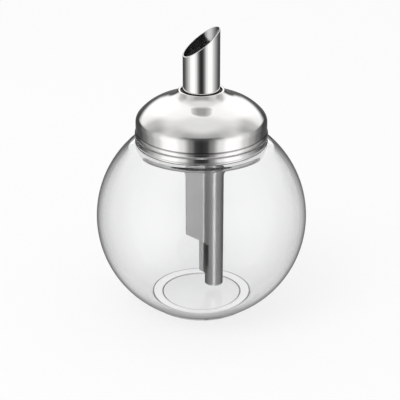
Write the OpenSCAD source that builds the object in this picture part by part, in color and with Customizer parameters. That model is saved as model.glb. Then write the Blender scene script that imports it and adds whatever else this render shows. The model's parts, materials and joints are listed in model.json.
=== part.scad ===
// Sugar dispenser: a glass ball with a steel screw lid, a slanted pouring spout,
// a rolled sheet dosing channel that hangs in the sugar, and a gravity flap in the spout.
// Millimetres. The origin is the middle of the foot, on the table. +Z is up and
// +X points to the tip of the spout, the side that the sugar pours over.

/* [Glass jar] */
// Outer diameter of the ball
ball_d = 95; // [85:1:110]
// Wall of the ball
ball_wall = 2.4; // [2:0.1:3]
// Outer diameter of the foot
foot_d = 46.6; // [42:0.2:52]
// Height of the foot's step below the ball
foot_h = 0.7; // [0.6:0.1:1.2]
// Width of the ring that the jar stands on
foot_ring_w = 3.8; // [2:0.1:5]
// Rounding of the foot's lower edge
heel_r = 0.4; // [0.2:0.1:0.5]
// Rise of the hollow under the base
punt_h = 1.2; // [0.9:0.1:1.6]
// Height of the inside floor above the table
floor_h = 3.8; // [3.5:0.1:5]
// Rounding between the inside floor and the wall
floor_r = 6; // [4:0.5:8]
// How far the shoulder reaches out beyond the lid's skirt, without its rounding
shoulder_w = 2.46; // [2.2:0.01:3.2]
// Rounding of the shoulder's outer edge
shoulder_r = 3.5; // [2.5:0.1:3.8]
// Outer diameter of the neck between its threads
neck_d = 51.3; // [50.6:0.1:51.6]
// Height of the neck above the shoulder
neck_h = 7.9; // [7.5:0.1:8.5]
// Wall of the neck between its threads
neck_wall = 2.6; // [2.3:0.1:3]

/* [Lid] */
// Thickness of the lid's steel sheet
lid_sheet = 0.5; // [0.4:0.05:0.6]
// Height of the straight skirt, from its lower edge to the start of the dome
skirt_h = 9.6; // [9.2:0.1:11]
// How far the rolled lower edge stands proud of the skirt
hem_proud = 0.35; // [0.25:0.05:0.5]
// Height of the bead's middle above the lower edge
bead_h = 4.5; // [3.5:0.1:5.5]
// Half the height of the bead
bead_half = 1.2; // [0.9:0.05:1.4]
// How far the bead stands proud of the skirt
bead_proud = 0.4; // [0.2:0.05:0.5]
// Radius of the rounded shoulder of the dome
dome_edge_r = 5; // [4:0.5:6]
// Radius of the crown of the dome
dome_crown_r = 22.3; // [20:0.1:23]
// Radius of the flare that runs up to the spout
dome_flare_r = 9.5; // [8:0.1:11]
// Slope of the dome between its crown and its flare
dome_slope = 19; // [17:1:22]
// Radius of the rolled lip round the spout
lip_r = 0.65; // [0.6:0.05:0.9]
// Gap between the lid's lower edge and the jar's shoulder
lid_gap = 0.3; // [0.2:0.05:0.5]

/* [Thread ring and seal] */
// Room for the thread between the neck and the wall of the thread ring
thread_room = 1.1; // [1:0.05:1.4]
// Wall of the plastic thread ring
ring_wall = 1.75; // [1.5:0.05:1.9]
// Thickness of the ring's top flange, which presses on the seal
ring_top = 1; // [0.8:0.1:1.2]
// Thickness of the seal
seal_t = 1; // [0.8:0.1:1.2]
// Width of the seal
seal_w = 2.8; // [2.4:0.1:3]

/* [Spout] */
// Outer diameter of the spout
spout_d = 16.3; // [15.5:0.1:17]
// Wall of the spout
spout_wall = 0.5; // [0.4:0.05:0.6]
// Height of the low side of the mouth above the lid's rolled lip
mouth_rise = 15; // [13:0.1:20]
// Slope of the mouth
mouth_slope = 37.2; // [30:0.1:45]
// Depth of the spout below the top of the lid's rolled lip
spout_below = 6.2; // [5:0.1:7]

/* [Funnel] */
// Thickness of the funnel's sheet
funnel_sheet = 0.5; // [0.4:0.05:0.6]
// Outer diameter of the funnel's wide end
funnel_d = 22.6; // [22:0.1:24]
// Height of the funnel's cone
funnel_h = 7.6; // [6:0.1:8]
// Depth of the flap's seat below the low side of the mouth
seat_depth = 4.4; // [4.2:0.1:5]
// Height of the two ears that hold the pin, above the seat
ear_h = 2.4; // [2.1:0.1:3]

/* [Flap] */
// Thickness of the flap
flap_t = 0.9; // [0.7:0.05:1.1]
// Diameter of the hinge pin
pin_d = 0.8; // [0.6:0.05:1]
// Outer diameter of the hinge barrel
barrel_d = 1.7; // [1.5:0.05:1.9]
// Length of the hinge barrel
barrel_len = 5.2; // [4:0.1:5.4]
// Distance of the hinge pin from the wall of the spout
hinge_in = 2.05; // [1.8:0.05:2.4]
// How far the flap opens
flap_open = 50; // [40:1:50]

/* [Dosing channel] */
// Outer diameter of the rolled channel
channel_d = 8.4; // [7.8:0.1:8.8]
// Thickness of the channel's sheet
channel_sheet = 0.45; // [0.35:0.05:0.5]
// Distance of the channel's axis from the lid's axis
channel_offset = 5.9; // [5.6:0.1:6.1]
// Gap between the channel's lower end and the floor of the jar
channel_gap = 3.3; // [2.5:0.1:5]
// Reach of the pressed fin from the channel's axis
fin_reach = 13; // [11:0.1:13.4]
// Rounding of the bend between the channel and its fin
bend_r = 1.2; // [0.8:0.1:1.6]
// Height of the fin's lower corner above the channel's lower end
fin_low = 25.8; // [23:0.1:31]
// Height of the bottom of the filling window above the channel's lower end
window_low = 4.9; // [3:0.1:8]
// Height of the filling window
window_h = 15.8; // [12:0.1:17]
// Width of the single lip that is left beside the filling window
window_lip = 2.7; // [2:0.1:3.5]

/* [Fit] */
// Gap round pieces that are pressed or welded together
press_gap = 0.05; // [0.02:0.01:0.1]
// Running clearance of the flap on its pin
pin_gap = 0.05; // [0.03:0.01:0.1]
// Clearance round the swinging flap
swing_gap = 0.15; // [0.1:0.01:0.2]

/* [Hidden] */
$fn = 96;
eps = 0.01;

// Heights and radii that follow from the sizes above
ball_r = ball_d / 2;
inner_r = ball_r - ball_wall;
neck_r = neck_d / 2;
foot_r = foot_d / 2;
ball_z = foot_h + sqrt(pow(ball_r, 2) - pow(foot_r, 2));
ring_r = neck_r + thread_room + ring_wall;
skirt_r = ring_r + press_gap + lid_sheet;
shoulder_h = ball_z + sqrt(pow(ball_r, 2) - pow(skirt_r + shoulder_w, 2));
rim_z = shoulder_h + neck_h;
mouth_r = neck_r - neck_wall;
lid_z = shoulder_h + lid_gap;
dome_z = lid_z + skirt_h;
spout_r = spout_d / 2;
bore_r = spout_r - spout_wall;
hinge_offset = bore_r - hinge_in;

// A point at radius r and angle a from centre c
function polar(c, r, a) = [c[0] + r * cos(a), c[1] + r * sin(a)];
// Points along an arc, one about every three degrees, or every fifteen on the smallest roundings
function arc(c, r, a0, a1) =
    let (n = max(3, ceil(abs(a1 - a0) / (abs(r) < 0.5 ? 15 : 3))))
    [for (i = [0:n]) polar(c, r, a0 + (a1 - a0) * i / n)];
// Centre of a circle of radius r that touches the ball of radius big from inside at height z
function inside_ball(big, r, z) = [sqrt(pow(big - r, 2) - pow(z - ball_z, 2)), z];
// Direction from the middle of the ball to a point
function from_ball(c) = atan2(c[1] - ball_z, c[0]);

// Glass jar
// Roundings of the glass: the foot of the neck, the rim, the throat and the inside of the shoulder
neck_fillet = 1.2;
rim_r = 0.8;
throat_r = 4;
ceiling_r = 3;
ceiling_z = shoulder_h - ball_wall;
punt_ring = 0.6;

jar_centre = [0, ball_z];
foot_in = foot_r - heel_r - foot_ring_w;
punt_edge = foot_in - punt_ring;
punt_r = (pow(punt_edge, 2) + pow(punt_h - punt_ring, 2)) / (2 * (punt_h - punt_ring));
punt_c = [0, punt_h - punt_r];
shoulder_c = inside_ball(ball_r, shoulder_r, shoulder_h - shoulder_r);
ceiling_c = inside_ball(inner_r, ceiling_r, ceiling_z - ceiling_r);
floor_c = inside_ball(inner_r, floor_r, floor_h + floor_r);

jar_outside = concat(
    arc(punt_c, punt_r, 90, acos(punt_edge / punt_r)),
    arc([foot_in, punt_ring], punt_ring, 180, 270),
    arc([foot_r - heel_r, heel_r], heel_r, -90, 0),
    arc(jar_centre, ball_r, from_ball([foot_r, foot_h]), 0),
    arc(jar_centre, ball_r, 0, from_ball(shoulder_c)),
    arc(shoulder_c, shoulder_r, from_ball(shoulder_c), 90),
    arc([neck_r + neck_fillet, shoulder_h + neck_fillet], neck_fillet, 270, 180),
    arc([neck_r - rim_r, rim_z - rim_r], rim_r, 0, 90)
);
jar_inside = concat(
    arc([mouth_r + rim_r, rim_z - rim_r], rim_r, 90, 180),
    arc([mouth_r + throat_r, ceiling_z + throat_r], throat_r, 180, 270),
    arc(ceiling_c, ceiling_r, 90, from_ball(ceiling_c)),
    arc(jar_centre, inner_r, from_ball(ceiling_c), from_ball(floor_c)),
    arc(floor_c, floor_r, from_ball(floor_c), -90),
    [[0, floor_h]]
);

module glass_jar() {
    color([0.86, 0.92, 0.92, 0.35])
    rotate_extrude()
    polygon(concat(jar_outside, jar_inside));
}

// Lid shell, one spun sheet. sheet_path(d) runs along the sheet at depth d under its outer face,
// from the lip turned in below the thread ring, over the dome, to the sleeve round the spout.
hem_r = 0.7;
hem_top = 50;
foot_lip = 1.1;
edge_turn = 40;
flare_slope = 56;
sleeve_h = 3;
sleeve_r = spout_r + press_gap;

hem_c = [skirt_r + hem_proud - hem_r, lid_z + hem_r];
bead_r = (pow(bead_half, 2) + pow(bead_proud, 2)) / (2 * bead_proud);
bead_c = [skirt_r + bead_proud - bead_r, lid_z + bead_h];
edge_c = [skirt_r - dome_edge_r, dome_z];
crown_c = polar(edge_c, dome_edge_r - dome_crown_r, edge_turn);
crown_end = polar(crown_c, dome_crown_r, 90 - dome_slope);
// The straight part of the dome is as long as leaves room for the flare and the lip
lip_width = lip_r * (1 + cos(90 - flare_slope));
flare_width = dome_flare_r * (cos(90 - flare_slope) - cos(90 - dome_slope));
straight = (crown_end[0] - flare_width - lip_width - sleeve_r) / cos(dome_slope);
flare_start = [crown_end[0] - straight * cos(dome_slope), crown_end[1] + straight * sin(dome_slope)];
flare_c = polar(flare_start, dome_flare_r, 90 - dome_slope);
lip_c = polar(polar(flare_c, -dome_flare_r, 90 - flare_slope), -lip_r, 90 - flare_slope);
lip_top = lip_c[1] + lip_r;
hem_end = skirt_r - lid_sheet - foot_lip;

function bead_turn(d) = acos((bead_r - bead_proud - d) / (bead_r - d));
function sheet_path(d) = concat(
    [[hem_end, lid_z + d]],
    arc(hem_c, hem_r - d, -90, hem_top),
    [[skirt_r - d, lid_z + 2.4 * hem_r]],
    arc(bead_c, bead_r - d, -bead_turn(d), bead_turn(d)),
    arc(edge_c, dome_edge_r - d, 0, edge_turn),
    arc(crown_c, dome_crown_r - d, edge_turn, 90 - dome_slope),
    arc(flare_c, -dome_flare_r - d, 90 - dome_slope, 90 - flare_slope),
    arc(lip_c, lip_r - d, 90 - flare_slope, 180),
    [[sleeve_r + d, lip_c[1] - sleeve_h]]
);
function reversed(p) = [for (i = [len(p) - 1:-1:0]) p[i]];

module lid_shell() {
    color([0.78, 0.78, 0.77])
    rotate_extrude()
    polygon(concat(sheet_path(0), reversed(sheet_path(lid_sheet))));
}

// Thread ring, held between the dome and the lip turned in at the skirt's lower edge
ring_low = lid_z + lid_sheet + press_gap;
seal_z = rim_z;
ring_high = seal_z + seal_t + ring_top;
seal_in = neck_r - seal_w + 0.4;

module thread_ring() {
    color([0.93, 0.93, 0.91])
    rotate_extrude()
    difference() {
        translate([seal_in, ring_low])
        square([ring_r - seal_in, ring_high - ring_low]);
        translate([seal_in - eps, ring_low - eps])
        square([ring_r - ring_wall - seal_in + eps, ring_high - ring_top - ring_low + eps]);
    }
}

// Seal, a flat ring between the rim of the glass and the flange of the thread ring
module lid_seal() {
    color([0.95, 0.95, 0.93])
    rotate_extrude()
    translate([seal_in, seal_z])
    square([seal_w, seal_t]);
}

// Spout, welded into the sleeve of the lid and cut on a slant
mouth_low = lip_top + mouth_rise;
spout_low = lip_top - spout_below;
spout_high = mouth_low + spout_d * tan(mouth_slope);
cutter = 2 * spout_d;

module spout_tube() {
    color([0.80, 0.80, 0.80])
    difference() {
        translate([0, 0, spout_low])
        cylinder(r = spout_r, h = spout_high - spout_low);
        translate([0, 0, spout_low - eps])
        cylinder(r = bore_r, h = spout_high - spout_low + 2 * eps);
        translate([-spout_r, -cutter / 2, mouth_low])
        rotate([0, -mouth_slope, 0])
        translate([-cutter / 2, 0, 0])
        cube([2 * cutter, cutter, cutter]);
    }
}

// Funnel: its neck stands inside the spout, the top of the neck is the seat of the flap,
// and its floor closes the spout round the dosing channel
neck_out = bore_r - press_gap;
neck_in = neck_out - funnel_sheet;
seat_z = mouth_low - seat_depth;
cone_top = spout_low - press_gap;
cone_low = cone_top - funnel_h;
funnel_r = funnel_d / 2;
hinge_z = seat_z + barrel_d / 2 + pin_gap;
ear_half = 1.4;
ear_end = hinge_offset - ear_half;

module funnel_body() {
    rotate_extrude()
    polygon([
        [0, cone_low],
        [funnel_r, cone_low],
        [funnel_r, cone_low + 2 * funnel_sheet],
        [neck_out, cone_top],
        [neck_out, seat_z + ear_h],
        [neck_in, seat_z + ear_h],
        [neck_in, cone_top - funnel_sheet],
        [funnel_r - funnel_sheet, cone_low + 2 * funnel_sheet],
        [funnel_r - funnel_sheet, cone_low + funnel_sheet],
        [0, cone_low + funnel_sheet]
    ]);
}

module inner_funnel() {
    color([0.72, 0.72, 0.72])
    difference() {
        funnel_body();
        // Everything above the seat goes, apart from the ears on the hinge side
        translate([-ear_end, -funnel_r, seat_z])
        cube([2 * funnel_r, 2 * funnel_r, ear_h + eps]);
        translate([-hinge_offset, 0, hinge_z])
        rotate([90, 0, 0])
        cylinder(d = pin_d, h = 2 * funnel_r, center = true);
        translate([0, 0, cone_low - eps])
        linear_extrude(funnel_sheet + 2 * eps)
        channel_outline(press_gap);
    }
}

// Dosing channel: one sheet rolled to a tube, with its two edges pressed together as a fin
channel_r = channel_d / 2;
channel_low = floor_h + channel_gap;
channel_high = cone_low + 2 * funnel_sheet;
channel_len = channel_high - channel_low;
fin_end = channel_offset - fin_reach;
tube_side = channel_offset - channel_r;
// How far the fin's lower edge slants down towards the roll, above the filling window
fin_step = 3.5;
window_top = window_low + window_h;
lip_end = tube_side - window_lip;
lip_slant = 2.1;
// How far the roll of the front edge is cut back at the filling window
window_back = 1.3;

// Each edge of the sheet bends out of the roll round a centre outside both the tube and the fin
bend_y = channel_sheet + bend_r;
bend_x = sqrt(pow(channel_r + bend_r, 2) - pow(bend_y, 2));
bend_turn = asin(bend_y / (channel_r + bend_r));

module fin_outline(grow) {
    translate([fin_end - grow, -channel_sheet - grow])
    square([fin_reach, 2 * (channel_sheet + grow)]);
    for (side = [-1, 1])
        polygon(concat(
            [[channel_offset, 0], [channel_offset - bend_x, 0]],
            [for (p = arc([channel_offset - bend_x, bend_y], bend_r - grow, 270, 360 - bend_turn))
                [p[0], side * p[1]]]
        ));
}

module channel_outline(grow) {
    fin_outline(grow);
    translate([channel_offset, 0])
    circle(r = channel_r + grow);
}

// A cut whose outline is seen from the front, with heights above the channel's lower end,
// taken out between the depths y0 and y1
module front_cut(points, y0, y1) {
    translate([0, y1, channel_low])
    rotate([90, 0, 0])
    linear_extrude(y1 - y0)
    polygon(points);
}

module dosing_channel() {
    color([0.74, 0.74, 0.73])
    difference() {
        union() {
            translate([channel_offset, 0, channel_low])
            cylinder(r = channel_r, h = channel_len);
            // The fin and its bends, above their slanted lower edge
            difference() {
                translate([0, 0, channel_low])
                linear_extrude(channel_len)
                fin_outline(0);
                front_cut([
                    [fin_end - 1, -1],
                    [fin_end - 1, fin_low],
                    [fin_end, fin_low],
                    [lip_end, fin_low - fin_step],
                    [lip_end, window_low + lip_slant],
                    [tube_side, window_low],
                    [channel_offset, window_low],
                    [channel_offset, -1]
                ], -channel_r, channel_r);
            }
        }
        translate([channel_offset, 0, channel_low - eps])
        cylinder(r = channel_r - channel_sheet, h = channel_len + 2 * eps);
        // The filling window takes the front layer and the front edge of the roll
        front_cut([
            [lip_end - 1, window_low],
            [lip_end - 1, fin_low - fin_step],
            [lip_end, fin_low - fin_step],
            [tube_side, window_top],
            [tube_side + window_back, window_top],
            [tube_side + window_back, window_low]
        ], -channel_r - 1, 0);
    }
}

// Flap: a round plate that lies on the neck of the funnel and swings up on the pin.
// Its edge is cut back to what still clears the spout when it is open.
flap_r = (neck_in + bore_r) / 2 - 0.08;
heel_out = neck_in - 4 * swing_gap;
heel_cut = ear_end - 0.6;

module flap_plate() {
    intersection() {
        translate([0, 0, seat_z])
        cylinder(r = flap_r, h = flap_t);
        // The bore of the spout, as the open flap meets it
        translate([-hinge_offset, 0, hinge_z])
        rotate([0, flap_open + 2, 0])
        translate([hinge_offset, 0, -hinge_z])
        cylinder(r = bore_r - swing_gap, h = 2 * spout_high);
        union() {
            translate([-heel_cut, -spout_r, seat_z])
            cube([2 * spout_r, 2 * spout_r, flap_t]);
            intersection() {
                translate([0, 0, seat_z])
                cylinder(r = heel_out, h = flap_t);
                translate([-hinge_offset, -spout_r, seat_z])
                cube([spout_r, 2 * spout_r, flap_t]);
            }
        }
    }
}

module flap() {
    color([0.10, 0.10, 0.10])
    difference() {
        union() {
            flap_plate();
            translate([-hinge_offset, 0, hinge_z])
            rotate([90, 0, 0])
            cylinder(d = barrel_d, h = barrel_len, center = true);
        }
        translate([-hinge_offset, 0, hinge_z])
        rotate([90, 0, 0])
        cylinder(d = pin_d + 2 * pin_gap, h = 2 * spout_d, center = true);
    }
}

// Hinge pin: it sits in the ears of the funnel and the wall of the spout keeps it in
pin_len = 2 * sqrt(pow(neck_out, 2) - pow(hinge_offset + pin_d / 2, 2));

module flap_pin() {
    color([0.65, 0.65, 0.65])
    translate([-hinge_offset, 0, hinge_z])
    rotate([90, 0, 0])
    cylinder(d = pin_d, h = pin_len, center = true);
}

glass_jar();
lid_shell();
thread_ring();
lid_seal();
spout_tube();
inner_funnel();
dosing_channel();
flap();
flap_pin();
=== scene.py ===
import json
import math

import bmesh
import bpy
import numpy as np
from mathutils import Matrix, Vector

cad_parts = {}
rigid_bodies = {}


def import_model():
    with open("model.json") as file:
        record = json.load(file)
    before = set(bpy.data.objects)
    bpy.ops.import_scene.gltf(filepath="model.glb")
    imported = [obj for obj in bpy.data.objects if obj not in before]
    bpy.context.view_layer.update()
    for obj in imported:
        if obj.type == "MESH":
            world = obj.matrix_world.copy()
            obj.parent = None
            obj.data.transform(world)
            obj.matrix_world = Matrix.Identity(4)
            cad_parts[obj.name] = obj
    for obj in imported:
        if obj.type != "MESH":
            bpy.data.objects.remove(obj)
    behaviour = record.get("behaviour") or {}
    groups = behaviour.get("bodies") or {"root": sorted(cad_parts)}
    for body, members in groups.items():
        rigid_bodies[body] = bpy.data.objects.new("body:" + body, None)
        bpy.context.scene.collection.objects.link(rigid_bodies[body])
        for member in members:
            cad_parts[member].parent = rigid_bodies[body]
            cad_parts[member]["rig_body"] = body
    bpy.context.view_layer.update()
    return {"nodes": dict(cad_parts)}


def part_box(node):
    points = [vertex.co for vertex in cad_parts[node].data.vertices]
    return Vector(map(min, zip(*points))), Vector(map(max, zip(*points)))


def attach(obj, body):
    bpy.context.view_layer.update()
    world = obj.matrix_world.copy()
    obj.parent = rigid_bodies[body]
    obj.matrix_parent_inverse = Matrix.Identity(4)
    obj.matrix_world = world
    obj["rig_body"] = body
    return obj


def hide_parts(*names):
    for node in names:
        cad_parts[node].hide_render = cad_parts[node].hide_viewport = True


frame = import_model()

# Sizes are in millimetres and angles in degrees. The meshes are written in metres.
MM = 0.001

# Glass jar
BALL_R = 47.38
BALL_Z = 42.09          # height of the ball's middle
BALL_WALL = 2.4
FOOT_R = 23.25
FOOT_RING_W = 3.8       # flat ring that the jar stands on
FOOT_FILLET = 0.45      # from the foot's side into the ball
HEEL_R = 0.55           # outer edge of the foot
PUNT_H = 1.2            # hollow under the foot
PUNT_RING = 0.9         # rounding from the foot ring into the hollow
FLOOR_H = 3.8
FLOOR_R = 6.0           # from the floor into the inner wall
SHOULDER_H = 77.63
SHOULDER_R = 3.5
NECK_R = 25.65
NECK_FILLET = 1.2
MOUTH_R = 23.05
RIM_R = 0.8
THROAT_R = 4.0          # from the mouth into the shoulder's inner side
CEILING_R = 3.0         # from the shoulder's inner side into the inner wall
INNER_R = BALL_R - BALL_WALL
CEILING_Z = SHOULDER_H - BALL_WALL
RIM_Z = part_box("glass_jar")[1][2] / MM
# Threads: the first ridge's height above the wall's foot, the rise in a turn, the number of turns, how
# far the ridge stands out, and half its width. The ring's ridge stands inwards.
JAR_THREAD = {"low": 2.2, "pitch": 3.2, "turns": 1.25, "height": 0.75, "half": 1.0}
RING_THREAD = {"low": 2.7, "pitch": 3.2, "turns": 1.2, "height": -0.75, "half": 0.9}
THREAD_FADE = 0.06      # part of a turn in which a ridge's end rises
ON_WALL = 0.01          # how near to the wall's radius a point has to be to take part in the ridge

# Lid
SKIRT_R = 29.05
LID_SHEET = 0.5
SKIRT_H = 9.6
HEM_R = 0.7
HEM_PROUD = 0.35
HEM_TURN = 50.0         # how far the hem's roll goes up its outer side
HEM_END_H = 1.68        # where the hem has run into the skirt
SKIRT_START_H = 1.75
FOOT_LIP = 1.1          # how far the sheet is turned in at the hem
BEAD_H = 4.5
BEAD_HALF = 1.2
BEAD_PROUD = 0.4
BEAD_CLEAR = 0.3        # from the bead to the skirt's nearest row of points
BEAD_SHADE_LINE = 0.1         # from the bead to the dark lines painted as shade along it
DOME_CLEAR = 0.1        # from the dome's rounded edge to the skirt's last row of points
EDGE_R = 5.0            # rounded shoulder of the dome
EDGE_TURN = 40.0
CROWN_R = 22.3
DOME_SLOPE = 19.0
FLARE_R = 9.5           # hollow curve from the dome up to the lip
FLARE_SLOPE = 56.0
LIP_R = 0.6
LIP_GAP = 0.9           # groove between the lip and the spout
GROOVE_START = 0.6      # depths of the groove's slant under the lip's middle
GROOVE_END = 1.5
SLEEVE_H = 3.0
LID_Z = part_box("lid_shell")[0][2] / MM
DOME_Z = LID_Z + SKIRT_H

# Thread ring and seal
RING_WALL = 1.75
RING_TOP = 1.0
RING_SOFT = 0.18
THREAD_CLEAR = 0.3      # plain wall above and below the ring's thread
SEAL_W = 2.8
SEAL_PAST_NECK = 0.4    # how far the seal reaches out past the neck's outside
SEAL_SOFT = 0.25

# Spout
SPOUT_R = 8.15
SPOUT_WALL = 0.5
MOUTH_SLOPE = 37.2
MOUTH_EDGE = 0.12       # how much of the cut's edges is broken
EDGE_BULGE = 0.3        # share of it that is left at the middle of the broken edge
LAST_CLIMB = 0.995      # share of the height at which the last plain ring lies
PRESS_GAP = 0.05

# Dosing channel
CHANNEL_R = 4.2
CHANNEL_SHEET = 0.45
CHANNEL_X = 5.9
FIN_REACH = 13.0        # from the channel's axis to the fin's edge
BEND_R = 1.2
FIN_LOW = 25.8
FIN_STEP = 3.5          # height of the slant under the fin
WINDOW_LOW = 4.9
WINDOW_H = 15.8
WINDOW_LIP = 2.7        # what is left of the fin beside the window
LIP_SLANT = 2.1
WINDOW_BACK = 1.3       # how far the window reaches round the tube
FOLD_GAP = 0.04         # between the fin's two leaves
SEAM_GAP = 0.03         # half the slit in the plain tube below the window
EDGE_STEP = 0.05        # half the height over which an edge jumps
LANES = 301             # points along the sheet
ROW_GAP = 0.02          # least height between two rows of points
PROBE = 0.01            # half the way over which the sheet's direction is measured

# Camera, from the photograph's perspective
CAMERA_DISTANCE = 620.0
CAMERA_AZIMUTH = -9.3
CAMERA_ELEVATION = 24.7
CAMERA_PITCH = 24.08
CAMERA_LENS = 122.87
CAMERA_SHIFT = -0.0035

# The studio that metal and glass mirror: brightness at angles from the camera's side, 0, to the far
# side, 180, in rows for heights in degrees above the horizon.
STUDIO = [
    (-80, [(0, 0.85), (180, 0.85)]),
    (-50, [(0, 0.4), (60, 0.7), (120, 0.45), (180, 0.4)]),
    (-27, [(0, 0.03), (9, 0.05), (18, 0.25), (33, 0.9), (48, 1.25), (66, 1.15), (82, 0.7),
           (98, 0.4), (115, 0.18), (131, 0.08), (150, 0.08), (165, 0.15), (180, 0.2)]),
    (3, [(0, 0.03), (9, 0.05), (18, 0.25), (33, 0.9), (48, 1.25), (66, 1.15), (82, 0.7),
         (98, 0.4), (115, 0.18), (131, 0.06), (150, 0.06), (165, 0.1), (180, 0.15)]),
    (15, [(0, 0.04), (9, 0.06), (18, 0.22), (33, 0.75), (48, 1.1), (66, 1.05), (82, 0.7),
          (98, 0.45), (115, 0.6), (131, 1.0), (150, 1.2), (180, 1.2)]),
    (38, [(0, 0.07), (14, 0.09), (28, 0.22), (52, 0.66), (75, 0.75), (97, 0.45), (117, 0.6),
          (140, 1.2), (180, 1.2)]),
    (57, [(0, 0.45), (33, 0.45), (62, 0.6), (85, 0.72), (105, 0.85), (140, 1.1), (180, 1.1)]),
    (76, [(0, 0.85), (90, 0.85), (180, 0.88)]),
]
# How much white clear glass mixes into the studio, at the same angles
GLASS_PALE = [(0, 0.25), (95, 0.3), (115, 0.55), (138, 0.6), (153, 0.35), (164, 0.02), (180, 0.02)]
# What metal inside the glass mirrors instead, at the same angles and at any height
BEHIND_GLASS = [(0, 2.1), (8, 1.7), (16, 0.3), (45, 0.35), (80, 0.25), (115, 0.03), (150, 0.05), (180, 0.5)]
ROOM_LIGHT = 0.8        # even light on matt surfaces
FLOOR_GREY = 0.9
FLOOR_WHITE = 0.8       # share of plain white in the floor that the camera sees
FLOOR_HALF = 6.0        # half the floor's width, in metres
LAMP_AIM = 0.06         # height that the lamp looks at, in metres
ANY_BOUNCE = 0.5        # more than no bounce
ONE_WALL = 2.5          # more than the two bounces of one wall of glass


# Outlines and surfaces

def arc(centre, radius, start, end, step=3.0):
    """Points on a circle round centre, from the angle start to the angle end."""
    count = max(3, int(abs(end - start) / step) + 2)
    turn = np.radians(np.linspace(start, end, count))
    return np.column_stack([centre[0] + radius * np.cos(turn), centre[1] + radius * np.sin(turn)])


def straight(start, end, count):
    """Points on a straight line, evenly spaced."""
    return np.linspace(start, end, count)


def polar(centre, radius, angle):
    """The point at an angle on a circle."""
    a = math.radians(angle)
    return (centre[0] + radius * math.cos(a), centre[1] + radius * math.sin(a))


def outline(*parts):
    """Joins stretches end to end, and drops a point that repeats the one before it."""
    points = np.vstack([np.atleast_2d(np.asarray(part, float)) for part in parts])
    step = np.linalg.norm(np.diff(points, axis=0), axis=1)
    return points[np.concatenate([[True], step > 1e-3])]


def rounded(corners, radius, step=15.0):
    """A closed outline through corners, each turned by an arc of that radius that touches both sides. The
    arc's middle lies on the corner's bisector, the radius over the sine of the half angle away."""
    corners = np.asarray(corners, float)
    parts = []
    for i, corner in enumerate(corners):
        back = corners[i - 1] - corner
        on = corners[(i + 1) % len(corners)] - corner
        back, on = back / np.linalg.norm(back), on / np.linalg.norm(on)
        half = math.acos(float(np.clip(back @ on, -1, 1))) / 2
        middle = (back + on) / np.linalg.norm(back + on)
        centre = corner + middle * radius / math.sin(half)
        first = corner + back * radius / math.tan(half) - centre
        last = corner + on * radius / math.tan(half) - centre
        start = math.degrees(math.atan2(first[1], first[0]))
        turn = (math.degrees(math.atan2(last[1], last[0])) - start + 180) % 360 - 180
        parts.append(arc(centre, radius, start, start + turn, step))
    return outline(*parts)


def revolve(profile, turns, swell=None):
    """Grid of a profile of (radius, height) turned about Z: x = r cos t, y = r sin t.
    swell(r, z, t) is added to the radius."""
    t = np.linspace(0, 2 * np.pi, turns, endpoint=False)[None, :]
    r = profile[:, :1] + 0 * t
    z = profile[:, 1:] + 0 * t
    if swell is not None:
        r = r + swell(r, z, t + 0 * r)
    return np.stack([r * np.cos(t), r * np.sin(t), z], axis=-1)


def thread(base_r, low, pitch, turns, height, half):
    """The ridge of a right-hand screw thread on a wall of radius base_r, as a swelling for revolve(). Its
    middle rises by the pitch in each turn, its section is one hump of a cosine, and both ends fade."""
    def ridge(r, z, t):
        total = np.zeros_like(r)
        for lap in range(int(turns) + 1):
            along = t / (2 * np.pi) + lap
            fade = np.clip(np.minimum(along, turns - along) / THREAD_FADE, 0, 1)
            off = np.clip(np.abs(z - low - pitch * along) / half, 0, 1)
            total = np.maximum(total, fade * (0.5 + 0.5 * np.cos(np.pi * off)))
        return np.where(np.abs(r - base_r) < ON_WALL, height * total, 0.0)
    return ridge


def show(name, mesh, sharp):
    """An object for a mesh, smooth except along edges sharper than an angle."""
    mesh.shade_smooth()
    mesh.set_sharp_from_angle(angle=math.radians(sharp))
    piece = bpy.data.objects.new(name, mesh)
    bpy.context.scene.collection.objects.link(piece)
    return piece


def mesh_piece(name, points, faces, sharp):
    """A piece from points in millimetres, with doubled points merged and its faces outwards."""
    mesh = bpy.data.meshes.new(name)
    mesh.from_pydata((points * MM).tolist(), [], faces)
    build = bmesh.new()
    build.from_mesh(mesh)
    bmesh.ops.remove_doubles(build, verts=build.verts, dist=1e-8)
    if build.calc_volume(signed=True) < 0:
        bmesh.ops.reverse_faces(build, faces=build.faces)
    build.to_mesh(mesh)
    build.free()
    return show(name, mesh, sharp)


def grid_faces(rows, columns, wrap_rows, wrap_columns):
    """Corners of the squares between neighbouring rows and columns of a grid."""
    i = np.arange(rows if wrap_rows else rows - 1)[:, None]
    j = np.arange(columns if wrap_columns else columns - 1)[None, :]
    up, on = (i + 1) % rows, (j + 1) % columns
    corners = [i * columns + j, up * columns + j, up * columns + on, i * columns + on]
    return np.stack(np.broadcast_arrays(*corners), axis=-1).reshape(-1, 4).tolist()


def turned_piece(name, profile, closed, turns, swell=None):
    """A turned piece: a closed profile makes a ring, and an open one starts and ends on the axis."""
    grid = revolve(profile, turns, swell)
    return mesh_piece(name, grid.reshape(-1, 3), grid_faces(len(profile), turns, closed, True), sharp=35.0)


def dress(piece, node, material):
    """The piece stands for its CAD node, rides on the node's body and takes its material."""
    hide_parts(node)
    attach(piece, frame["nodes"][node]["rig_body"])
    piece.data.materials.clear()
    piece.data.materials.append(material)


def heights_of(node):
    """The lowest and the highest point of a CAD node."""
    low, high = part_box(node)
    return low[2] / MM, high[2] / MM


# Nodes

def grey(level):
    return (level, level, level, 1)


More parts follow.
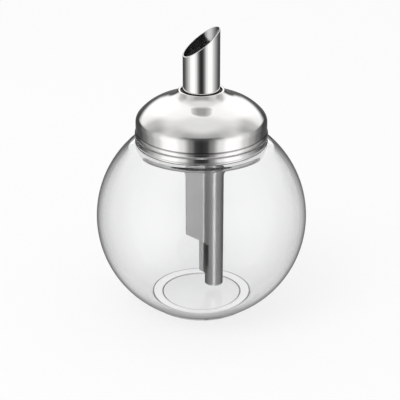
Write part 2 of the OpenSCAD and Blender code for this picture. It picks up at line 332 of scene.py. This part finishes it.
class NodeTree:
    """A node tree whose nodes are added and joined in short lines."""

    def __init__(self, tree):
        self.tree = tree

    def add(self, kind, inputs=(), **settings):
        """A new node with its settings, and with a value or a link in each of the inputs."""
        node = self.tree.nodes.new(kind)
        for key, value in settings.items():
            setattr(node, key, value)
        for key, value in dict(inputs).items():
            self.join(value, node.inputs[key])
        return node

    def join(self, value, socket):
        """A socket's value, or a link into it."""
        if isinstance(value, bpy.types.NodeSocket):
            self.tree.links.new(value, socket)
        else:
            socket.default_value = value

    def math(self, operation, a, b=0.0):
        return self.add("ShaderNodeMath", {0: a, 1: b}, operation=operation).outputs[0]

    def mix(self, share, first, second):
        """A colour between two, by a share from 0 to 1."""
        colours = {0: share, 6: first, 7: second}
        return self.add("ShaderNodeMix", colours, data_type="RGBA").outputs[2]

    def angle_ramp(self, share, stops):
        """The brightness at an angle, given as a share of 180 degrees, as a colour."""
        ramp = self.add("ShaderNodeValToRGB", {0: share})
        ramp.color_ramp.interpolation = "EASE"
        points = ramp.color_ramp.elements
        for number, (angle, bright) in enumerate(stops):
            point = points[number] if number < 2 else points.new(angle / 180)
            point.position = angle / 180
            point.color = grey(bright)
        return ramp.outputs[0]


class Finish(NodeTree):
    """A material's nodes, round its own shader."""

    def __init__(self, name):
        self.material = bpy.data.materials.new(name)
        self.material.use_nodes = True
        super().__init__(self.material.node_tree)
        self.shader = self.tree.nodes["Principled BSDF"]

    def point(self):
        """The point on the piece."""
        return self.add("ShaderNodeTexCoord").outputs["Object"]

    def noise(self, vector, scale, detail=3.0, rough=0.5):
        values = {"Vector": vector, "Scale": scale, "Detail": detail, "Roughness": rough}
        return self.add("ShaderNodeTexNoise", values).outputs["Fac"]

    def span(self, value, low, high, to_low, to_high):
        """A value from low to high, stretched to another span and held at its ends."""
        values = {"Value": value, 1: low, 2: high, 3: to_low, 4: to_high}
        return self.add("ShaderNodeMapRange", values).outputs[0]

    def bump(self, height, strength, distance):
        values = {"Height": height, "Strength": strength, "Distance": distance}
        return self.add("ShaderNodeBump", values).outputs["Normal"]

    def tint(self, value, dark, light):
        return self.mix(value, (*dark, 1), (*light, 1))

    def feed(self, **sockets):
        """Values and links for the shader, by its sockets' names with _ for a space."""
        for key, value in sockets.items():
            self.join(value, self.shader.inputs[key.replace("_", " ")])


# Materials

TWO_NOISES = (0.6, 1.4)     # where the sum of two noises mostly lies
METAL_BUMP = 0.00002        # height of the marks in metal, in metres
SCRATCH = (6000.0, 6000.0, 90.0)    # scratches are fine across the sheet and long up it
BORE_FADE = (0.1, 0.2)      # from the bore's painted shade tone to the polish, outside the bore
# Dark lines painted as shade in the creases beside the lid's bead
SHADE_LINE_TONE = 0.05
SHADE_LINE_HALF = 0.0001          # half of a painted shade line's full part, in metres
SHADE_LINE_FADE = 0.00045         # where it has faded out


def turned_steel(name, dark, light, rough, ring_depth, bore, bore_shade_tone, bore_rough, shade_lines=()):
    """Steel polished on a lathe: a noise of the radius and the height makes fine rings round the Z axis,
    and two noises of the point make it faintly cloudy. Within the radius bore it is left as drawn and
    rougher, and its colour is darkened to the bore's tone as painted shade in that hollow. The lines
    are heights at which a dark line is painted as shade in a crease, and how dark."""
    finish = Finish(name)
    point = finish.point()
    parts = finish.add("ShaderNodeSeparateXYZ", {0: point}).outputs
    flat = finish.add("ShaderNodeCombineXYZ", {0: parts[0], 1: parts[1]}).outputs[0]
    radius = finish.add("ShaderNodeVectorMath", {0: flat}, operation="LENGTH").outputs["Value"]
    lane = finish.add("ShaderNodeCombineXYZ", {0: radius, 1: parts[2]}).outputs[0]
    rings = finish.noise(lane, scale=9000.0, detail=4.0, rough=0.65)
    cloud = finish.noise(point, scale=60.0)
    wear = finish.noise(point, scale=700.0, detail=4.0)
    # Within the bore the colour is darkened to the bore's tone as painted shade, and the finish is rougher
    inner = finish.span(radius, *((bore + off) * MM for off in BORE_FADE), 1.0, 0.0)
    colour = finish.mix(inner, finish.tint(cloud, dark, light), grey(bore_shade_tone))
    # Dark lines painted as shade at the listed heights
    for height, shade in shade_lines:
        off = finish.math("ABSOLUTE", finish.math("SUBTRACT", parts[2], height * MM))
        colour = finish.mix(finish.span(off, SHADE_LINE_HALF, SHADE_LINE_FADE, shade, 0.0), colour, grey(SHADE_LINE_TONE))
    polish = finish.span(finish.math("ADD", cloud, wear), *TWO_NOISES, *rough)
    drawn = finish.math("MULTIPLY", inner, bore_rough - rough[0])
    finish.feed(
        Base_Color=colour,
        Metallic=1.0,
        Roughness=finish.math("ADD", polish, drawn),
        Normal=finish.bump(rings, ring_depth, METAL_BUMP),
    )
    return finish.material


def sheet_steel(name, dark, light, rough):
    """Rolled sheet steel: a noise stretched along Z makes fine scratches, and another soft stains."""
    finish = Finish(name)
    point = finish.point()
    drawn_out = finish.add("ShaderNodeVectorMath", {0: point, 1: SCRATCH}, operation="MULTIPLY").outputs[0]
    scratches = finish.noise(drawn_out, scale=1.0, rough=0.6)
    cloud = finish.noise(point, scale=120.0, detail=4.0)
    finish.feed(
        Base_Color=finish.tint(cloud, dark, light),
        Metallic=1.0,
        Roughness=finish.span(finish.math("ADD", cloud, scratches), *TWO_NOISES, *rough),
        Normal=finish.bump(scratches, strength=0.25, distance=METAL_BUMP),
    )
    return finish.material


def jar_glass():
    """Clear glass, faintly uneven from the mould."""
    finish = Finish("clear_glass")
    wave = finish.noise(finish.point(), scale=45.0, detail=2.0)
    finish.feed(
        Base_Color=(0.992, 0.996, 0.996, 1.0),
        Transmission_Weight=1.0,
        IOR=1.5,
        Roughness=0.0,
        Normal=finish.bump(wave, strength=0.06, distance=0.0006),
    )
    return finish.material


def plastic(name, dark, light, rough, grain, strength, glow=0.0):
    """Moulded plastic or rubber, slightly cloudy, with a fine grain in its gloss and height."""
    finish = Finish(name)
    point = finish.point()
    skin = finish.noise(point, grain)
    finish.feed(
        Base_Color=finish.tint(finish.noise(point, scale=90.0), dark, light),
        Roughness=finish.span(skin, 0.3, 0.7, *rough),
        Subsurface_Weight=glow,
        Subsurface_Radius=(0.001, 0.001, 0.0009),
        Normal=finish.bump(skin, strength, distance=0.00005),
    )
    return finish.material


# Glass jar

def inside_ball(ball_r, radius, height):
    """Centre of a circle at that height that touches the ball from inside."""
    return (math.sqrt((ball_r - radius) ** 2 - (height - BALL_Z) ** 2), height)


def from_ball(centre):
    """Direction of a point from the middle of the ball."""
    return math.degrees(math.atan2(centre[1] - BALL_Z, centre[0]))


def jar_outline():
    """The jar's section: up its outside from the middle of the punt to the rim, and down its inside to the
    middle of the floor. The ball and its roundings are arcs that touch."""
    foot_in = FOOT_R - HEEL_R - FOOT_RING_W
    punt_edge = foot_in - PUNT_RING
    rise = PUNT_H - PUNT_RING
    punt_r = (punt_edge**2 + rise**2) / (2 * rise)
    shoulder = inside_ball(BALL_R, SHOULDER_R, SHOULDER_H - SHOULDER_R)
    ceiling = inside_ball(INNER_R, CEILING_R, CEILING_Z - CEILING_R)
    floor = inside_ball(INNER_R, FLOOR_R, FLOOR_H + FLOOR_R)
    ball = (0, BALL_Z)
    beside = FOOT_R + FOOT_FILLET
    step = (beside, BALL_Z - math.sqrt((BALL_R + FOOT_FILLET) ** 2 - beside**2))
    return outline(
        arc((0, PUNT_H - punt_r), punt_r, 90, math.degrees(math.acos(punt_edge / punt_r)), 0.3),
        arc((foot_in, PUNT_RING), PUNT_RING, 180, 270, 12),
        arc((FOOT_R - HEEL_R, HEEL_R), HEEL_R, -90, 0, 15),
        arc(step, FOOT_FILLET, 180, from_ball(step) + 180, 15),
        arc(ball, BALL_R, from_ball(step), from_ball(shoulder), 1.6),
        arc(shoulder, SHOULDER_R, from_ball(shoulder), 90, 6),
        arc((NECK_R + NECK_FILLET, SHOULDER_H + NECK_FILLET), NECK_FILLET, 270, 180, 9),
        straight((NECK_R, SHOULDER_H + NECK_FILLET), (NECK_R, RIM_Z - RIM_R), 48),
        arc((NECK_R - RIM_R, RIM_Z - RIM_R), RIM_R, 0, 90, 9),
        arc((MOUTH_R + RIM_R, RIM_Z - RIM_R), RIM_R, 90, 180, 9),
        straight((MOUTH_R, RIM_Z - RIM_R), (MOUTH_R, CEILING_Z + THROAT_R), 6),
        arc((MOUTH_R + THROAT_R, CEILING_Z + THROAT_R), THROAT_R, 180, 270, 5),
        arc(ceiling, CEILING_R, 90, from_ball(ceiling), 5),
        arc(ball, INNER_R, from_ball(ceiling), from_ball(floor), 1.6),
        arc(floor, FLOOR_R, from_ball(floor), -90, 4),
        straight((floor[0], FLOOR_H), (0, FLOOR_H), 12),
    )


def make_jar(glass):
    """The jar's section turned about Z, with the thread on its neck."""
    grip = dict(JAR_THREAD, low=SHOULDER_H + JAR_THREAD["low"])
    piece = turned_piece("jar", jar_outline(), False, 288, thread(NECK_R, **grip))
    dress(piece, "glass_jar", glass)


# Lid

def lid_points():
    """Centres that the lid's arcs turn about, found from the skirt inwards. A straight slope joins the crown
    to the flare, and is as long as the room that the flare, the lip and the groove leave beside the spout."""
    edge = (SKIRT_R - EDGE_R, DOME_Z)
    crown = polar(edge, EDGE_R - CROWN_R, EDGE_TURN)
    crown_end = polar(crown, CROWN_R, 90 - DOME_SLOPE)
    slope = math.radians(DOME_SLOPE)
    steep = math.radians(FLARE_SLOPE)
    lip_width = LIP_R * (1 + math.sin(steep))
    flare_width = FLARE_R * (math.sin(steep) - math.sin(slope))
    run = crown_end[0] - flare_width - lip_width - SPOUT_R - LIP_GAP
    flare_start = (crown_end[0] - run, crown_end[1] + run * math.tan(slope))
    flare = polar(flare_start, FLARE_R, 90 - DOME_SLOPE)
    lip = polar(polar(flare, -FLARE_R, 90 - FLARE_SLOPE), -LIP_R, 90 - FLARE_SLOPE)
    return edge, crown, flare, lip


def lid_path(depth):
    """The lid's sheet at a depth under its outer face, from the turned-in foot over the dome to the sleeve.
    Each arc's radius is less or more by the depth, and the bead is an arc through its height and width."""
    edge, crown, flare, lip = lid_points()
    wall = SKIRT_R - depth
    hem = (SKIRT_R + HEM_PROUD - HEM_R, LID_Z + HEM_R)
    bead_r = (BEAD_HALF**2 + BEAD_PROUD**2) / (2 * BEAD_PROUD)
    bead = (SKIRT_R + BEAD_PROUD - bead_r, LID_Z + BEAD_H)
    bead_turn = math.degrees(math.acos((bead_r - BEAD_PROUD - depth) / (bead_r - depth)))
    bead_low, bead_high = (bead[1] + side * (BEAD_HALF + BEAD_CLEAR) for side in (-1, 1))
    return outline(
        [(SKIRT_R - LID_SHEET - FOOT_LIP, LID_Z + depth)],
        arc(hem, HEM_R - depth, -90, HEM_TURN, 8),
        [(wall, LID_Z + HEM_END_H)],
        straight((wall, LID_Z + SKIRT_START_H), (wall, bead_low), 5),
        arc(bead, bead_r - depth, -bead_turn, bead_turn, 5),
        straight((wall, bead_high), (wall, DOME_Z - DOME_CLEAR), 5),
        arc(edge, EDGE_R - depth, 0, EDGE_TURN, 2),
        arc(crown, CROWN_R - depth, EDGE_TURN, 90 - DOME_SLOPE, 1.5),
        arc(flare, -FLARE_R - depth, 90 - DOME_SLOPE, 90 - FLARE_SLOPE, 1.5),
        arc(lip, LIP_R - depth, 90 - FLARE_SLOPE, 180, 6),
        [(SPOUT_R + LIP_GAP + depth, lip[1] - GROOVE_START)],
        [(SPOUT_R + PRESS_GAP + depth, lip[1] - GROOVE_END)],
        [(SPOUT_R + PRESS_GAP + depth, lip[1] - SLEEVE_H)],
    )


def make_lid(steel):
    """The sheet's outer face and its inner face, joined to a closed section and turned about Z."""
    section = outline(lid_path(0), lid_path(LID_SHEET)[::-1])
    dress(turned_piece("lid", section, True, 320), "lid_shell", steel)


def make_ring(white):
    """The thread ring: a wall with an inward thread, and a flange over the seal, turned about Z."""
    low, high = heights_of("thread_ring")
    outer = SKIRT_R - LID_SHEET - PRESS_GAP
    inner = outer - RING_WALL
    flange_in = NECK_R - SEAL_W + SEAL_PAST_NECK
    under = high - RING_TOP
    corners = [(inner, low), (outer, low), (outer, high),
               (flange_in, high), (flange_in, under), (inner, under)]
    wall = straight((inner, under - THREAD_CLEAR), (inner, low + THREAD_CLEAR), 40)
    section = outline(rounded(corners, RING_SOFT), wall)
    grip = dict(RING_THREAD, low=low + RING_THREAD["low"])
    piece = turned_piece("screw_ring", section, True, 288, thread(inner, **grip))
    dress(piece, "thread_ring", white)


def make_seal(pale):
    """The seal: a flat ring with soft edges, turned about Z."""
    low, high = heights_of("lid_seal")
    inner = NECK_R - SEAL_W + SEAL_PAST_NECK
    outer = inner + SEAL_W
    section = rounded([(inner, low), (outer, low), (outer, high), (inner, high)], SEAL_SOFT)
    dress(turned_piece("seal", section, True, 192), "lid_seal", pale)


# Spout

def make_spout(steel):
    """A tube cut by a slanted plane: the top's height is the low side's height plus the slope times the way
    along X. Its rings climb the outside, step over the cut's two broken edges and go down the bore."""
    low, high = heights_of("spout_tube")
    slope = math.tan(math.radians(MOUTH_SLOPE))
    mouth = high - 2 * SPOUT_R * slope
    bore = SPOUT_R - SPOUT_WALL
    t = np.linspace(0, 2 * np.pi, 256, endpoint=False)

    def ring(r, share, inset=0.0):
        """The ring of that radius at a share of the way up to the cut, which is lowered by the inset."""
        top = mouth + (r * np.cos(t) + SPOUT_R) * slope - inset
        return np.column_stack([r * np.cos(t), r * np.sin(t), low + (top - low) * share])

    climb = np.linspace(0.0, LAST_CLIMB, 40)
    bulge = MOUTH_EDGE * EDGE_BULGE
    broken = [(0.0, MOUTH_EDGE), (bulge, bulge), (MOUTH_EDGE, 0.0)]
    rows = [ring(SPOUT_R, share) for share in climb]
    rows += [ring(SPOUT_R - off, 1.0, inset) for off, inset in broken]
    rows += [ring(bore + off, 1.0, inset) for off, inset in broken[::-1]]
    rows += [ring(bore, share) for share in climb[::-1]]
    piece = mesh_piece("spout", np.concatenate(rows), grid_faces(len(rows), len(t), True, True), sharp=50.0)
    dress(piece, "spout_tube", steel)


# Dosing channel

def channel_way(s, open_share):
    """The middle of the channel's sheet at the distance s along it from the side away from the fin.
    open_share 0 is the plain roll, a circle; 1 is the roll whose edges bend out, on arcs that touch the
    circle, and meet as the fin."""
    radius = CHANNEL_R - CHANNEL_SHEET / 2
    bend_y = CHANNEL_SHEET + FOLD_GAP / 2 + BEND_R
    bend_x = CHANNEL_X - math.sqrt((CHANNEL_R + BEND_R) ** 2 - bend_y**2)
    bend_turn = math.asin(bend_y / (CHANNEL_R + BEND_R))
    bend_mid = BEND_R + CHANNEL_SHEET / 2
    roll_end = radius * (math.pi - bend_turn)
    bend_end = roll_end + bend_mid * (math.pi / 2 - bend_turn)
    way = np.abs(s)
    on_roll = np.stack([CHANNEL_X + radius * np.cos(way / radius), radius * np.sin(way / radius)], -1)
    turn = 2 * np.pi - bend_turn - (way - roll_end) / bend_mid
    on_bend = np.stack([bend_x + bend_mid * np.cos(turn), bend_y + bend_mid * np.sin(turn)], -1)
    fin_y = np.full_like(way, (CHANNEL_SHEET + FOLD_GAP) / 2)
    on_fin = np.stack([bend_x - (way - bend_end), fin_y], -1)
    past_roll = np.where((way < bend_end)[..., None], on_bend, on_fin)
    opened = np.where((way < roll_end)[..., None], on_roll, past_roll)
    point = on_roll + (opened - on_roll) * open_share
    point[..., 1] *= np.sign(s)
    return point


def channel_reach(x):
    """How far along the opened sheet the place with that x is: the nearest of many tries."""
    s = np.linspace(0.5, 24, 4000)
    return s[np.argmin(np.abs(channel_way(s, 1.0)[..., 0] - x))]


def make_channel(steel):
    """One sheet: a grid of heights and of distances along the roll. Points past an edge of the sheet are
    held at that edge, so the edges' steps and slants cut the fin and the filling window. Its two faces
    lie half the sheet's thickness to either side of its middle."""
    low, high = heights_of("dosing_channel")
    length = high - low
    fin_end = CHANNEL_X - FIN_REACH
    tube_side = CHANNEL_X - CHANNEL_R
    lip_end = tube_side - WINDOW_LIP
    seam = math.pi * (CHANNEL_R - CHANNEL_SHEET / 2) - SEAM_GAP
    window_side = tube_side + WINDOW_BACK
    tube, window, lip, fin = (channel_reach(x) for x in (tube_side, window_side, lip_end, fin_end))
    window_top = WINDOW_LOW + WINDOW_H
    step_low = FIN_LOW - FIN_STEP
    # Each edge is a row of heights and of how far along the sheet the edge lies there.
    start = [(0, seam), (WINDOW_LOW - EDGE_STEP, seam)]
    slant = [(FIN_LOW, fin), (length, fin)]
    front = start + [(WINDOW_LOW + EDGE_STEP, window), (window_top - EDGE_STEP, window),
                     (window_top + EDGE_STEP, tube), (step_low, lip)] + slant
    back = start + [(WINDOW_LOW + EDGE_STEP, tube), (WINDOW_LOW + LIP_SLANT, lip),
                    (step_low - EDGE_STEP, lip), (step_low, lip)] + slant

    even = [np.linspace(0.0, length, 40), np.linspace(step_low, FIN_LOW, 36),
            np.linspace(WINDOW_LOW, WINDOW_LOW + LIP_SLANT, 16)]
    heights = sorted({z for z, way in front + back} | set(np.concatenate(even).tolist()))
    heights = [z for i, z in enumerate(heights) if i == 0 or z - heights[i - 1] > ROW_GAP]
    lanes = np.linspace(-fin, fin, LANES)
    loops = []
    for z in heights:
        opened = 0.0 if z < WINDOW_LOW else 1.0
        s = np.clip(lanes, -np.interp(z, *zip(*front)), np.interp(z, *zip(*back)))
        middle = channel_way(s, opened)
        ahead = channel_way(s + PROBE, opened) - channel_way(s - PROBE, opened)
        out = np.column_stack([ahead[:, 1], -ahead[:, 0]])
        out *= CHANNEL_SHEET / 2 / np.linalg.norm(out, axis=1)[:, None]
        loop = np.concatenate([middle + out, (middle - out)[::-1]])
        loops.append(np.column_stack([loop, np.full(len(loop), low + z)]))
    count = len(loops[0])
    faces = grid_faces(len(loops), count, False, True)
    for row in (0, len(loops) - 1):
        for i in range(count // 2 - 1):
            cap = [row * count + k for k in (i, i + 1, count - 2 - i, count - 1 - i)]
            faces.append(cap if row == 0 else cap[::-1])
    piece = mesh_piece("channel", np.concatenate(loops), faces, sharp=40.0)
    dress(piece, "dosing_channel", steel)


# Pieces whose CAD shape is right

def smoothed(node, name, material):
    """A copy of a CAD node with its points merged, its flat faces made whole and its round faces smooth."""
    mesh = frame["nodes"][node].data.copy()
    mesh.name = name
    build = bmesh.new()
    build.from_mesh(mesh)
    bmesh.ops.remove_doubles(build, verts=build.verts, dist=1e-6)
    bmesh.ops.dissolve_limit(build, angle_limit=math.radians(0.5), verts=build.verts, edges=build.edges)
    build.to_mesh(mesh)
    build.free()
    dress(show(name, mesh, sharp=30.0), node, material)


# Studio

def add_camera():
    """The camera stands at the photograph's distance and height and looks along its own pitch."""
    a, e, p = (math.radians(v) for v in (CAMERA_AZIMUTH, CAMERA_ELEVATION, CAMERA_PITCH))
    camera = bpy.data.objects.new("camera", bpy.data.cameras.new("camera"))
    bpy.context.scene.collection.objects.link(camera)
    camera.data.lens = CAMERA_LENS
    camera.data.sensor_width = 36.0
    camera.data.shift_x = CAMERA_SHIFT
    camera.data.clip_start = 0.01
    camera.data.clip_end = 20.0
    reach = CAMERA_DISTANCE * MM
    camera.location = (
        reach * math.sin(a) * math.cos(e),
        -reach * math.cos(a) * math.cos(e),
        BALL_Z * MM + reach * math.sin(e),
    )
    camera.rotation_euler = (math.pi / 2 - p, 0, a)
    bpy.context.scene.camera = camera


def add_world():
    """Even light for matt surfaces, white for the camera, and the studio's soft boxes and dark gaps for
    metal and glass. The angle from the camera's side comes from the arc tangent of a ray's X over its Y,
    and its height from the arc sine of its Z."""
    world = bpy.data.worlds.new("studio")
    bpy.context.scene.world = world
    world.use_nodes = True
    world.node_tree.nodes.clear()
    sky = NodeTree(world.node_tree)

    way = sky.add("ShaderNodeTexCoord").outputs["Generated"]
    towards = {"Vector": way, "Angle": -math.radians(CAMERA_AZIMUTH)}
    turned = sky.add("ShaderNodeVectorRotate", towards, rotation_type="Z_AXIS").outputs[0]
    parts = sky.add("ShaderNodeSeparateXYZ", {0: turned}).outputs
    side = sky.math("ARCTAN2", sky.math("ABSOLUTE", parts[0]), sky.math("MULTIPLY", parts[1], -1.0))
    share = sky.math("DIVIDE", side, math.pi)
    height = sky.math("MULTIPLY", sky.math("ARCSINE", parts[2]), 180 / math.pi)
    below, stops = STUDIO[0]
    level = sky.angle_ramp(share, stops)
    for elevation, stops in STUDIO[1:]:
        between = {0: height, 1: below, 2: elevation}
        rise = sky.add("ShaderNodeMapRange", between, interpolation_type="SMOOTHSTEP").outputs[0]
        level = sky.mix(rise, level, sky.angle_ramp(share, stops))
        below = elevation

    # A ray that was mirrored and went through more than one wall of glass counts as one from metal
    # inside the jar. Any other ray with a single direction counts as one from clear glass.
    rays = sky.add("ShaderNodeLightPath").outputs
    mirrored = sky.math("GREATER_THAN", rays["Glossy Depth"], ANY_BOUNCE)
    inside = sky.math("MULTIPLY", mirrored, sky.math("GREATER_THAN", rays["Transmission Depth"], ONE_WALL))
    on_glass = sky.math("MULTIPLY", rays["Is Singular Ray"], sky.math("SUBTRACT", 1.0, inside))
    pale = sky.mix(sky.angle_ramp(share, GLASS_PALE), level, grey(1.0))
    level = sky.mix(on_glass, level, pale)
    level = sky.mix(inside, level, sky.angle_ramp(share, BEHIND_GLASS))
    shiny = sky.math("MAXIMUM", rays["Is Glossy Ray"], rays["Is Transmission Ray"])
    plain = sky.mix(rays["Is Camera Ray"], grey(ROOM_LIGHT), grey(1.0))
    glow = sky.add("ShaderNodeBackground", {"Color": sky.mix(shiny, plain, level), "Strength": 1.0})
    sky.join(glow.outputs[0], sky.add("ShaderNodeOutputWorld").inputs["Surface"])


def add_floor():
    """A pale floor that keeps the object's shadow and is white to the camera and through the glass. What
    is mirrored in metal or glass doesn't stop at it, and shows the studio."""
    mesh = bpy.data.meshes.new("floor")
    corners = [(x * FLOOR_HALF, y * FLOOR_HALF, 0) for x, y in ((-1, -1), (1, -1), (1, 1), (-1, 1))]
    mesh.from_pydata(corners, [], [(0, 1, 2, 3)])
    floor = bpy.data.objects.new("floor", mesh)
    bpy.context.scene.collection.objects.link(floor)
    finish = Finish("pale_floor")
    finish.feed(Base_Color=grey(FLOOR_GREY), Roughness=0.9, Specular_IOR_Level=0.0)
    rays = finish.add("ShaderNodeLightPath").outputs
    seen = finish.math("MAXIMUM", rays["Is Camera Ray"], rays["Is Transmission Ray"])
    white = finish.add("ShaderNodeEmission", {"Color": grey(1.0), "Strength": 1.0}).outputs[0]
    paled = {0: finish.math("MULTIPLY", seen, FLOOR_WHITE), 1: finish.shader.outputs[0], 2: white}
    paled = finish.add("ShaderNodeMixShader", paled).outputs[0]
    mirrored = finish.math("GREATER_THAN", rays["Glossy Depth"], ANY_BOUNCE)
    clear = finish.add("ShaderNodeBsdfTransparent").outputs[0]
    last = finish.add("ShaderNodeMixShader", {0: mirrored, 1: paled, 2: clear})
    finish.join(last.outputs[0], finish.tree.nodes["Material Output"].inputs["Surface"])
    mesh.materials.append(finish.material)


def add_lamp(name, place, size, power):
    """A soft square lamp that looks at the middle of the object. It isn't seen in metal or glass."""
    light = bpy.data.lights.new(name, "AREA")
    light.size = size
    light.energy = power
    lamp = bpy.data.objects.new(name, light)
    lamp.location = place
    lamp.rotation_mode = "QUATERNION"
    lamp.rotation_quaternion = (Vector(place) - Vector((0, 0, LAMP_AIM))).to_track_quat("Z", "Y")
    lamp.visible_glossy = False
    lamp.visible_transmission = False
    bpy.context.scene.collection.objects.link(lamp)


# Heights of the dark lines painted as shade in the creases under and over the bead
bead_low, bead_high = (LID_Z + BEAD_H + side * (BEAD_HALF + BEAD_SHADE_LINE) for side in (-1, 1))
# Within the groove beside the spout the lid's colour is darkened to 0.12 as painted shade
lid_steel = turned_steel(
    "lid_steel", (0.82, 0.815, 0.805), (0.88, 0.875, 0.865), rough=(0.06, 0.1), ring_depth=0.06,
    bore=SPOUT_R + LIP_GAP, bore_shade_tone=0.12, bore_rough=0.4, shade_lines=((bead_low, 0.3), (bead_high, 0.7)))
# Inside the spout's bore the colour is darkened to 0.5 as painted shade, and the finish is rougher
spout_steel = turned_steel(
    "spout_steel", (0.82, 0.815, 0.805), (0.87, 0.865, 0.855), rough=(0.05, 0.09), ring_depth=0.04,
    bore=SPOUT_R - SPOUT_WALL, bore_shade_tone=0.5, bore_rough=0.12)
inner_steel = turned_steel(
    "inner_steel", (0.6, 0.6, 0.595), (0.68, 0.68, 0.675), rough=(0.25, 0.38), ring_depth=0.2,
    bore=0.0, bore_shade_tone=0.6, bore_rough=0.3)
channel_steel = sheet_steel("channel_steel", (0.62, 0.62, 0.61), (0.7, 0.7, 0.69), rough=(0.33, 0.45))
pin_steel = sheet_steel("pin_steel", (0.6, 0.6, 0.6), (0.66, 0.66, 0.66), rough=(0.2, 0.3))
white_ring = plastic("white_ring", (0.88, 0.88, 0.86), (0.93, 0.93, 0.91), rough=(0.32, 0.45),
                     grain=2500.0, strength=0.1, glow=0.1)
pale_seal = plastic("pale_seal", (0.86, 0.85, 0.82), (0.93, 0.92, 0.9), rough=(0.55, 0.7),
                    grain=1800.0, strength=0.2, glow=0.1)
black_flap = plastic("black_plastic", (0.018, 0.018, 0.018), (0.03, 0.03, 0.03), rough=(0.35, 0.5),
                     grain=3000.0, strength=0.12)

make_jar(jar_glass())
make_lid(lid_steel)
make_ring(white_ring)
make_seal(pale_seal)
make_spout(spout_steel)
make_channel(channel_steel)
smoothed("inner_funnel", "funnel", inner_steel)
smoothed("flap", "flap_plate", black_flap)
smoothed("flap_pin", "hinge_pin", pin_steel)

bpy.context.scene.view_settings.view_transform = "Standard"
add_camera()
add_world()
add_floor()
add_lamp("key_lamp", (-0.7, -0.5, 1.1), size=0.8, power=6.0)
